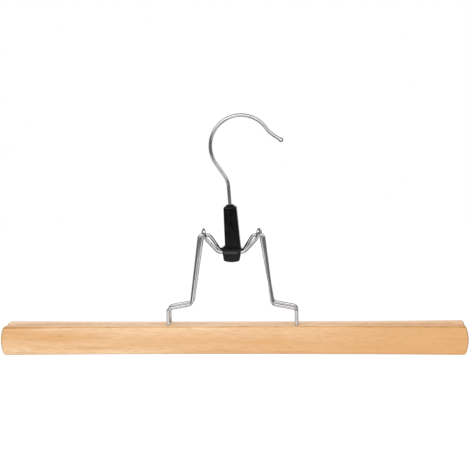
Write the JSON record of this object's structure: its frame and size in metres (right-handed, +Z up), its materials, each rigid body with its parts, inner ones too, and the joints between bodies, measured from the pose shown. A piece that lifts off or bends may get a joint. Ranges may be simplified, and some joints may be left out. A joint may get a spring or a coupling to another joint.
{
  "type": "clamp hanger",
  "caption": "Skirt and trouser hanger: felt-lined wooden clamp bars on crossed wire yokes, shut by a cam lever with a swivelling wire hook.",
  "frame": {"origin": "the rail's seat, at the top of the inside of the hook", "axes": "+X along the bars, towards the hook's open side; +Y from the front bar to the rear bar; +Z up"},
  "size_m": [0.36, 0.0262, 0.1843],
  "materials": {
    "chrome_wire": "polished",
    "black_plastic": "satin moulded",
    "wood": "clear satin lacquer",
    "felt": "pressed felt"
  },
  "bodies": {
    "hook": {"hook": "chrome_wire"},
    "lever": {"lever": "black_plastic"},
    "rear_jaw": {"rear_yoke": "chrome_wire", "rear_bar": "wood", "rear_felt": "felt"},
    "front_jaw": {"front_yoke": "chrome_wire", "front_bar": "wood", "front_felt": "felt"}
  },
  "joints": [
    {"name": "hook_swivel", "type": "hinge", "parent": "hook", "child": "lever", "pos_m": [-0.007, 0, -0.10295], "axis": [-0.0593, 0, 0.9982], "continuous": true},
    {"name": "lever_swing", "type": "hinge", "parent": "lever", "child": "rear_jaw", "pos_m": [-0.0084, -0.00425, -0.10295], "axis": [-1, 0, 0], "range_deg": [0, 85]},
    {"name": "jaw_open", "type": "hinge", "parent": "rear_jaw", "child": "front_jaw", "pos_m": [-0.0084, 0, -0.08995], "axis": [-1, 0, 0], "range_deg": [0, 15.5]}
  ],
  "couplings": [
    {"joint": "jaw_open", "follows": "lever_swing", "ratio": 0.18235}
  ]
}
